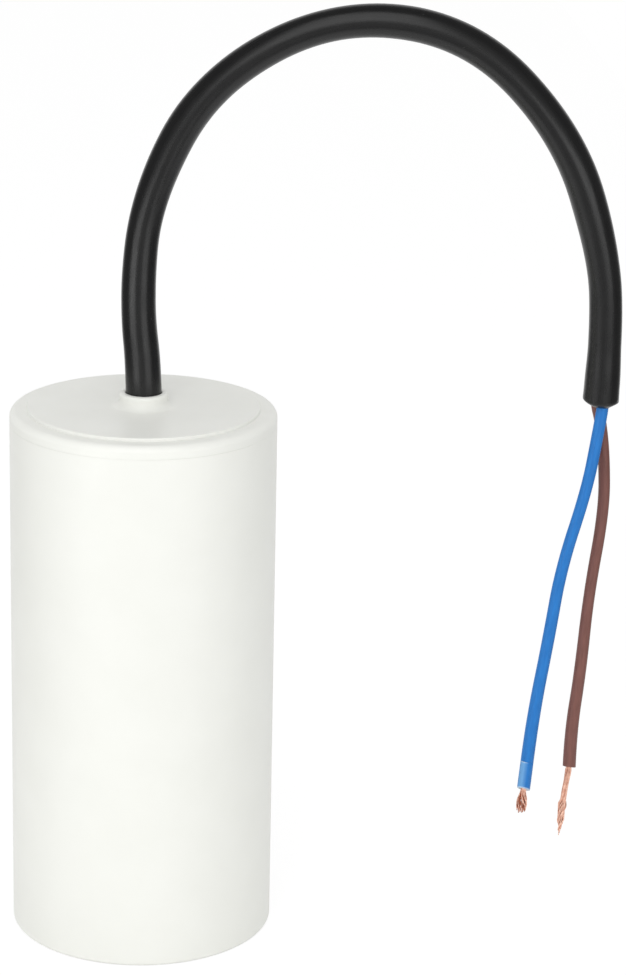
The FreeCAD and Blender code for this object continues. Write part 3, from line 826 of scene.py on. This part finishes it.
blue_end = blue_line[-1]
blue_axis = (blue_line[-1] - blue_line[-2]).normalized()
slug_line = [
    blue_end + blue_axis * (SLUG_GAP + SLUG_LENGTH * step / SLUG_STEPS)
    for step in range(SLUG_STEPS + 1)
]
_, slug_across, slug_over = line_frames(slug_line, (0, 1, 0))[0]


def near_cut(nodes, links, end, cut, facing):
    """Rises to 1 over the last bit of the slug before one of its cuts."""
    square = blue_axis - slug_over * cut[0] - slug_across * cut[1]
    along = nodes.new("ShaderNodeVectorMath")
    along.operation = "DOT_PRODUCT"
    along.inputs[1].default_value = square
    links.new(nodes.new("ShaderNodeTexCoord").outputs["Object"], along.inputs[0])
    edge = end.dot(square)
    return add_range(nodes, links, along.outputs["Value"], low=0, high=1,
                     start=edge - PALE_RIM * facing, end=edge)


def mixed_in(nodes, links, colour, other, share):
    """A colour with a share of another one mixed in."""
    mix = nodes.new("ShaderNodeMix")
    mix.data_type = "RGBA"
    mix.inputs["B"].default_value = other
    links.new(colour, mix.inputs["A"])
    links.new(share, mix.inputs["Factor"])
    return mix.outputs["Result"]


def blue_pvc_with_painted_highlight():
    """The wire's blue with a painted highlight down one side, and paler at the rims of its cuts."""
    material = wire_pvc("blue_pvc_painted_highlight", BLUE_PVC_DARK, BLUE_PVC_LIGHT, "UV", WIRE_STREAKS)
    nodes = material.node_tree.nodes
    links = material.node_tree.links
    shader = nodes["Principled BSDF"]
    blue = shader.inputs["Base Color"].links[0].from_socket
    around = nodes.new("ShaderNodeSeparateXYZ")
    links.new(nodes.new("ShaderNodeTexCoord").outputs["UV"], around.inputs["Vector"])
    away = nodes.new("ShaderNodeMath")
    away.operation = "SUBTRACT"
    away.inputs[1].default_value = HIGHLIGHT_SIDE
    links.new(around.outputs["X"], away.inputs[0])
    distance = nodes.new("ShaderNodeMath")
    distance.operation = "ABSOLUTE"
    links.new(away.outputs["Value"], distance.inputs[0])
    # Painted highlight: the blue made paler down one side of the slug, round a fixed place on the
    # wire.
    side = add_range(nodes, links, distance.outputs["Value"], low=HIGHLIGHT_STRENGTH, high=0,
                     start=HIGHLIGHT_MIDDLE, end=HIGHLIGHT_WIDTH)
    lower_rim = near_cut(nodes, links, slug_line[-1], SLUG_END_CUT, 1)
    # The upper cut's paler rim shows only within the painted highlight.
    upper_rim = nodes.new("ShaderNodeMath")
    upper_rim.operation = "MULTIPLY"
    links.new(near_cut(nodes, links, slug_line[0], SLUG_START_CUT, -1), upper_rim.inputs[0])
    links.new(side, upper_rim.inputs[1])
    highlighted = mixed_in(nodes, links, blue, PAINTED_HIGHLIGHT_BLUE, side)
    rimmed = mixed_in(nodes, links, highlighted, CUT_RIM_BLUE, lower_rim)
    links.new(mixed_in(nodes, links, rimmed, CUT_RIM_BLUE, upper_rim.outputs["Value"]),
              shader.inputs["Base Color"])
    return material


slug = rings_mesh(
    "blue_slug", insulation_rings(slug_line, SLUG_OUTLINE, (SLUG_START_CUT, SLUG_END_CUT)),
    through=True)
slug.data.materials.append(blue_pvc_with_painted_highlight())
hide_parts("blue_insulation_slug")
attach(slug, "root")

# Bare ends: soft copper strands, twisted by hand. The blue wire's strands flare into a short
# tuft of two locks, and the brown wire's are longer, swell near their end and run to a point.

STRAND_RADIUS = 0.0001
STRAND_SIDES = 10
STRAND_STEP = 0.00025
STRAND_LAYERS = [(1, 0.0), (6, 0.38), (10, 0.7), (13, 1.0)]
STRAND_SIDE = (0.3, 1, 0.1)
START_SPREAD = 0.15
TURN_WAVES = (5, 11)
REACH_WAVES = (9, 4)
REACH_SWAY = 0.3
TUFT_LENGTH = 0.00497
BROWN_TIP = (0.0815, 0, -0.0899)
HIDDEN_LENGTH = 0.0012
TUFT_COPPER_DARK = (0.400, 0.130, 0.075, 1)
TUFT_COPPER_LIGHT = (0.960, 0.620, 0.490, 1)
LONG_COPPER_DARK = (0.700, 0.380, 0.280, 1)
LONG_COPPER_LIGHT = (0.950, 0.640, 0.510, 1)


def point_at(line, distances, distance):
    """The point of a line at a distance along it."""
    for index in range(1, len(line)):
        if distance <= distances[index] or index == len(line) - 1:
            span = distances[index] - distances[index - 1]
            share = (distance - distances[index - 1]) / span
            return line[index - 1].lerp(line[index], share)


def sway_at(sizes, waves, share):
    """How far a strand sways at a share of the way along: two waves of the given sizes."""
    return sizes[0] * math.sin(waves[0] * share) + sizes[1] * math.sin(waves[1] * share)


def skin_strand(mesh, path, shade_layer, shade):
    """Adds the round skin of one strand along its path, with its shade at every point."""
    rows = []
    for place, (_, across, over) in zip(path, line_frames(path, STRAND_SIDE)):
        row = [mesh.verts.new(point) for point in ring_of(
            place, across, over, STRAND_RADIUS, STRAND_RADIUS, STRAND_SIDES)]
        for vertex in row:
            vertex[shade_layer] = shade
        rows.append(row)
    for row, following in zip(rows, rows[1:]):
        for side in range(STRAND_SIDES):
            after = (side + 1) % STRAND_SIDES
            mesh.faces.new([row[side], row[after], following[after],
                            following[side]]).smooth = True
    mesh.faces.new(list(reversed(rows[0])))
    mesh.faces.new(rows[-1])


def strand_bundle(name, line, outline, twist, locks, wander, ends, seed):
    """Strands wound round a line inside an outline, and gathered into locks at their ends.
    Outline, twist, wander and the locks' pull run along the line as (share, value) pairs, and
    ends says for each layer over which shares of the line its strands stop."""
    chance = random.Random(seed)
    distances = line_distances(line)
    length = distances[-1]
    lock_count, lock_turn, lock_pull = locks
    mesh = bmesh.new()
    shade_layer = mesh.verts.layers.float.new("strand_shade")
    frames = line_frames(line, (0, 1, 0))
    for layer, (count, reach) in enumerate(STRAND_LAYERS):
        for number in range(count):
            spread = chance.uniform(-START_SPREAD, START_SPREAD)
            start_turn = math.tau * (number + spread) / count
            end_share = chance.uniform(*ends[layer])
            shade = chance.random()
            sway = [chance.uniform(-1, 1) for _ in range(4)]
            steps = round(length * end_share / STRAND_STEP)
            path = []
            for step in range(steps + 1):
                share = end_share * step / steps
                _, across, over = frames[min(len(line) - 1, round(share * (len(line) - 1)))]
                loose = outline_at(wander, share)
                turn = start_turn + outline_at(twist, share)
                turn += loose * sway_at(sway[:2], TURN_WAVES, share)
                pull = outline_at(lock_pull, share)
                turn -= pull / lock_count * math.sin(lock_count * (turn - lock_turn))
                radius = (outline_at(outline, share) - STRAND_RADIUS) * reach
                radius *= 1 + REACH_SWAY * loose * sway_at(sway[2:], REACH_WAVES, share)
                path.append(point_at(line, distances, share * length)
                            + across * (radius * math.cos(turn))
                            + over * (radius * math.sin(turn)))
            skin_strand(mesh, path, shade_layer, shade)
    return piece_of(mesh, name)


tuft_start = SLUG_GAP + SLUG_LENGTH
tuft_end = tuft_start + TUFT_LENGTH
tuft_line = route_line("tuft_route", [
    blue_end - blue_axis * HIDDEN_LENGTH,
    blue_end + blue_axis * tuft_start,
    blue_end + blue_axis * tuft_end,
])
slug_share = (HIDDEN_LENGTH + tuft_start) / (HIDDEN_LENGTH + tuft_end)
tuft_share = 1 - slug_share
tuft = strand_bundle(
    "blue_copper", tuft_line,
    outline=[(0, 0.00055), (slug_share + 0.02, 0.00056),
             (slug_share + 0.55 * tuft_share, 0.0011), (1, 0.0009)],
    twist=[(0, 0), (slug_share - 0.1, 0), (1, -1.3)],
    locks=(2, math.pi / 2, [(0, 0), (slug_share + 0.3 * tuft_share, 0.05), (1, 0.8)]),
    wander=[(0, 0), (slug_share, 0.1), (1, 0.45)],
    ends=[(0.95, 1.0), (0.94, 1.0), (0.93, 1.0), (0.91, 0.99)], seed=11)
tuft.data.materials.append(
    bare_copper("tuft_copper", TUFT_COPPER_DARK, TUFT_COPPER_LIGHT, shaded_strands=True))
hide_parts("blue_strands")
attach(tuft, "root")

brown_end = brown_line[-1]
brown_axis = (brown_line[-1] - brown_line[-2]).normalized()
bare_line = route_line("bare_route", [
    brown_end - brown_axis * HIDDEN_LENGTH,
    *lifted([(0.0829, 0, -0.0762), (0.0823, 0, -0.0803), (0.0819, 0, -0.0848), BROWN_TIP]),
])
bare_end = strand_bundle(
    "brown_copper", bare_line,
    outline=[(0, 0.00055), (0.08, 0.00057), (0.13, 0.00064), (0.3, 0.00056), (0.45, 0.0006),
             (0.62, 0.00084), (0.75, 0.0007), (0.9, 0.00034), (1, 0.00013)],
    twist=[(0, 0), (0.45, 0.8), (0.75, 3.2), (1, 5.5)],
    locks=(1, 0.0, [(0, 0), (1, 0)]),
    wander=[(0, 0), (0.4, 0.15), (0.65, 0.9), (1, 0.5)],
    ends=[(0.98, 1.0), (0.9, 0.99), (0.82, 0.97), (0.74, 0.94)], seed=23)
bare_end.data.materials.append(
    bare_copper("long_copper", LONG_COPPER_DARK, LONG_COPPER_LIGHT, shaded_strands=True))
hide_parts("brown_strands")
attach(bare_end, "root")

# Studio: a white card under and behind the part, a soft light low on each side of the camera
# and a large one above it. The camera sees white all round. A gloss shows the backdrop and
# the card white, and the room to the sides of them dimmer.

CARD_WIDTH = 0.38
CARD_DEPTH = 2.0
CARD_MIDDLE = (0.03, 0.84, -0.00002)
FLOOR_COLOR = (0.74, 0.74, 0.73, 1)
FLOOR_GLOW = 0.81
FLOOR_SHADE = (0.25, 0.25, 0.25, 1)
WORLD_LIGHT = 0.715
BACKDROP_AIM = (0.05, 1, 0)
ROOM_LEVELS = [(0, 0.55), (0.3, 0.2), (0.8, 0.2), (0.9, 1)]
LIGHT_TARGET = Vector((0.02, 0, 0.1))


def show_white_to_camera(nodes, links, lit, output, white):
    """Camera, glossy and transmission rays see the white, and all others see the lit shader."""
    path = nodes.new("ShaderNodeLightPath")
    seen = nodes.new("ShaderNodeMath")
    seen.operation = "MAXIMUM"
    links.new(path.outputs["Is Camera Ray"], seen.inputs[0])
    through = nodes.new("ShaderNodeMath")
    through.operation = "MAXIMUM"
    links.new(path.outputs["Is Glossy Ray"], through.inputs[0])
    links.new(path.outputs["Is Transmission Ray"], through.inputs[1])
    links.new(through.outputs["Value"], seen.inputs[1])
    mix = nodes.new("ShaderNodeMixShader")
    links.new(seen.outputs["Value"], mix.inputs["Fac"])
    links.new(lit, mix.inputs[1])
    links.new(white, mix.inputs[2])
    links.new(mix.outputs["Shader"], output)


bpy.ops.object.select_all(action="DESELECT")
bpy.ops.mesh.primitive_plane_add(size=1, location=CARD_MIDDLE)
bpy.ops.transform.resize(value=(CARD_WIDTH, CARD_DEPTH, 1))
bpy.ops.object.transform_apply(location=True, rotation=True, scale=True)
floor = bpy.context.object
floor.name = "floor"
floor_material, nodes, links, shader = new_material("floor_white")
floor.data.materials.append(floor_material)
shader.inputs["Base Color"].default_value = FLOOR_COLOR
shader.inputs["Roughness"].default_value = 0.9
glow = nodes.new("ShaderNodeEmission")
glow.inputs["Strength"].default_value = FLOOR_GLOW
shaded = nodes.new("ShaderNodeBsdfDiffuse")
shaded.inputs["Color"].default_value = FLOOR_SHADE
both = nodes.new("ShaderNodeAddShader")
links.new(glow.outputs["Emission"], both.inputs[0])
links.new(shaded.outputs["BSDF"], both.inputs[1])
show_white_to_camera(nodes, links, shader.outputs["BSDF"],
                     nodes["Material Output"].inputs["Surface"], both.outputs["Shader"])

world = bpy.data.worlds.new("studio")
bpy.context.scene.world = world
world.use_nodes = True
nodes = world.node_tree.nodes
links = world.node_tree.links
ambient = nodes["Background"]
ambient.inputs["Color"].default_value = (1, 1, 1, 1)
ambient.inputs["Strength"].default_value = WORLD_LIGHT
backdrop = nodes.new("ShaderNodeBackground")
backdrop.inputs["Color"].default_value = (1, 1, 1, 1)
towards = nodes.new("ShaderNodeVectorMath")
towards.operation = "DOT_PRODUCT"
towards.inputs[1].default_value = BACKDROP_AIM
links.new(nodes.new("ShaderNodeTexCoord").outputs["Generated"], towards.inputs[0])
room = nodes.new("ShaderNodeValToRGB")
while len(room.color_ramp.elements) < len(ROOM_LEVELS):
    room.color_ramp.elements.new(1)
for stop, (place, value) in zip(room.color_ramp.elements, ROOM_LEVELS):
    stop.position = place
    stop.color = (value, value, value, 1)
links.new(add_range(nodes, links, towards.outputs["Value"], low=0, high=1, start=-1, end=1),
          room.inputs["Fac"])
level = nodes.new("ShaderNodeMath")
level.operation = "MAXIMUM"
links.new(nodes.new("ShaderNodeLightPath").outputs["Is Camera Ray"], level.inputs[0])
links.new(room.outputs["Color"], level.inputs[1])
links.new(level.outputs["Value"], backdrop.inputs["Strength"])
show_white_to_camera(nodes, links, ambient.outputs["Background"],
                     nodes["World Output"].inputs["Surface"], backdrop.outputs["Background"])


def panel_light(name, turn, climb, distance, width, height, power):
    """A flat soft light that faces the part, turned from the front and raised by two angles."""
    data = bpy.data.lights.new(name, "AREA")
    data.shape = "RECTANGLE"
    data.size = width
    data.size_y = height
    data.energy = power
    light = bpy.data.objects.new(name, data)
    bpy.context.scene.collection.objects.link(light)
    away = Vector((math.sin(turn) * math.cos(climb), -math.cos(turn) * math.cos(climb),
                   math.sin(climb)))
    light.location = LIGHT_TARGET + away * distance
    light.rotation_euler = (-away).to_track_quat("-Z", "Y").to_euler()
    light.visible_camera = False


panel_light("left_panel", turn=math.radians(-45), climb=math.radians(-7.5), distance=0.44,
            width=0.30, height=0.13, power=0.31)
panel_light("right_panel", turn=math.radians(33), climb=math.radians(-5), distance=0.44,
            width=0.30, height=0.16, power=0.25)
panel_light("top_panel", turn=math.radians(-9), climb=math.radians(40), distance=0.75,
            width=0.5, height=0.85, power=1.8)

# Camera: a long lens a little above the part, turned, tipped and rolled as in the photo, so
# that a render at the photo's size lies over it.

CAMERA_BACK = 0.583351
CAMERA_UP = 0.271935
CAMERA_PITCH = 0.306430
CAMERA_YAW = 0.054710
CAMERA_ROLL = 0.020380
FOCAL_LENGTH_IN_PIXELS = 3248.69
LONG_SIDE_IN_PIXELS = 975
SENSOR_WIDTH = 36

camera_data = bpy.data.cameras.new("camera")
camera_data.sensor_width = SENSOR_WIDTH
camera_data.lens = FOCAL_LENGTH_IN_PIXELS / LONG_SIDE_IN_PIXELS * SENSOR_WIDTH
camera_data.clip_start = 0.01
camera = bpy.data.objects.new("camera", camera_data)
bpy.context.scene.collection.objects.link(camera)
forward = Vector((math.sin(CAMERA_YAW) * math.cos(CAMERA_PITCH),
                  math.cos(CAMERA_YAW) * math.cos(CAMERA_PITCH), -math.sin(CAMERA_PITCH)))
level_right = Vector((math.cos(CAMERA_YAW), -math.sin(CAMERA_YAW), 0))
level_up = level_right.cross(forward)
right = level_right * math.cos(CAMERA_ROLL) + level_up * math.sin(CAMERA_ROLL)
up = level_up * math.cos(CAMERA_ROLL) - level_right * math.sin(CAMERA_ROLL)
camera.matrix_world = Matrix((
    (right.x, up.x, -forward.x, 0),
    (right.y, up.y, -forward.y, -CAMERA_BACK),
    (right.z, up.z, -forward.z, CAMERA_UP),
    (0, 0, 0, 1),
))
bpy.context.scene.camera = camera
bpy.context.scene.view_settings.view_transform = "Standard"
